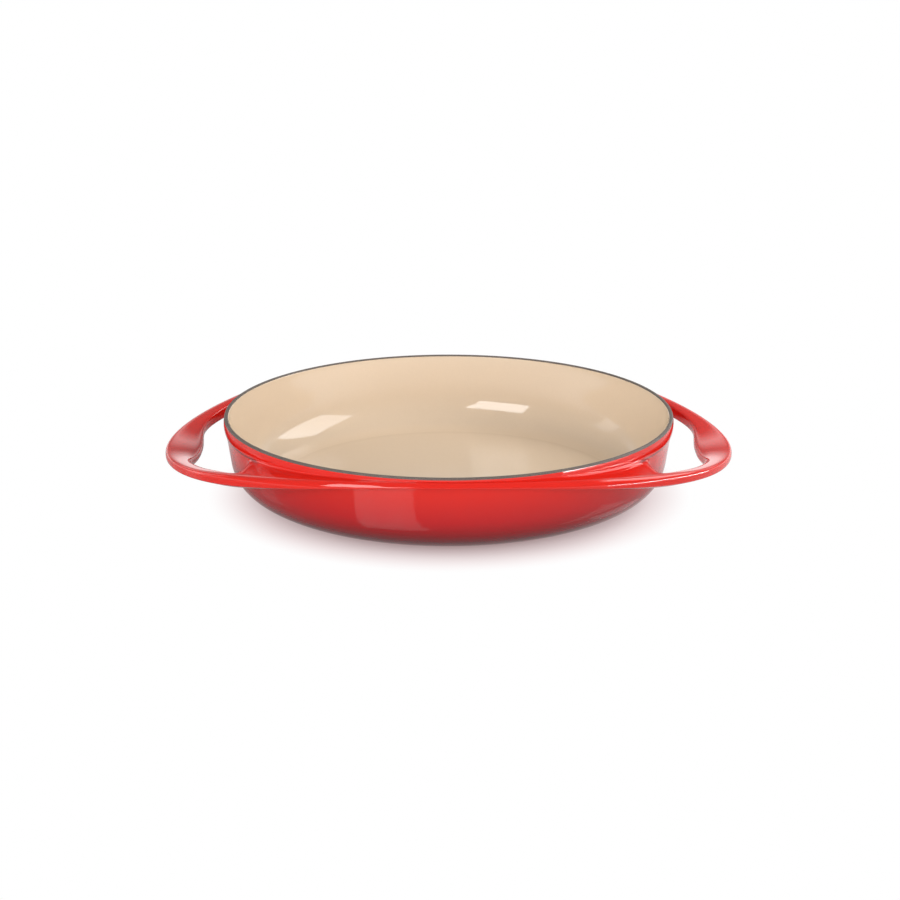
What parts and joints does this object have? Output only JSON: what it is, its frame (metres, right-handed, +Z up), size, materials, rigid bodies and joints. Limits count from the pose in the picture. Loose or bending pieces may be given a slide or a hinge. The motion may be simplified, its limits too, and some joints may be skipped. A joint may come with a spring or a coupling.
{
  "type": "tarte tatin dish",
  "caption": "Round enamelled cast-iron baking dish with a flared wall, a sand lining, a bare grey lip and an oval flange that bends down into open loop handles.",
  "frame": {"origin": "centre of the flat face that the dish stands on", "axes": "+X towards one handle, +Y towards the back of the dish as pictured, +Z up out of the mouth"},
  "size_m": [0.3204, 0.261, 0.047],
  "materials": {
    "cast_iron": "rough casting, hidden under the enamel",
    "red_enamel": "high-gloss vitreous enamel, darker red towards the base",
    "sand_enamel": "glossy vitreous enamel",
    "grey_enamel": "matt ground coat"
  },
  "bodies": {
    "root": {"iron_casting": "cast_iron", "outer_enamel": "red_enamel", "lining_enamel": "sand_enamel", "rim_enamel": "grey_enamel", "base_enamel": "grey_enamel"}
  },
  "joints": []
}
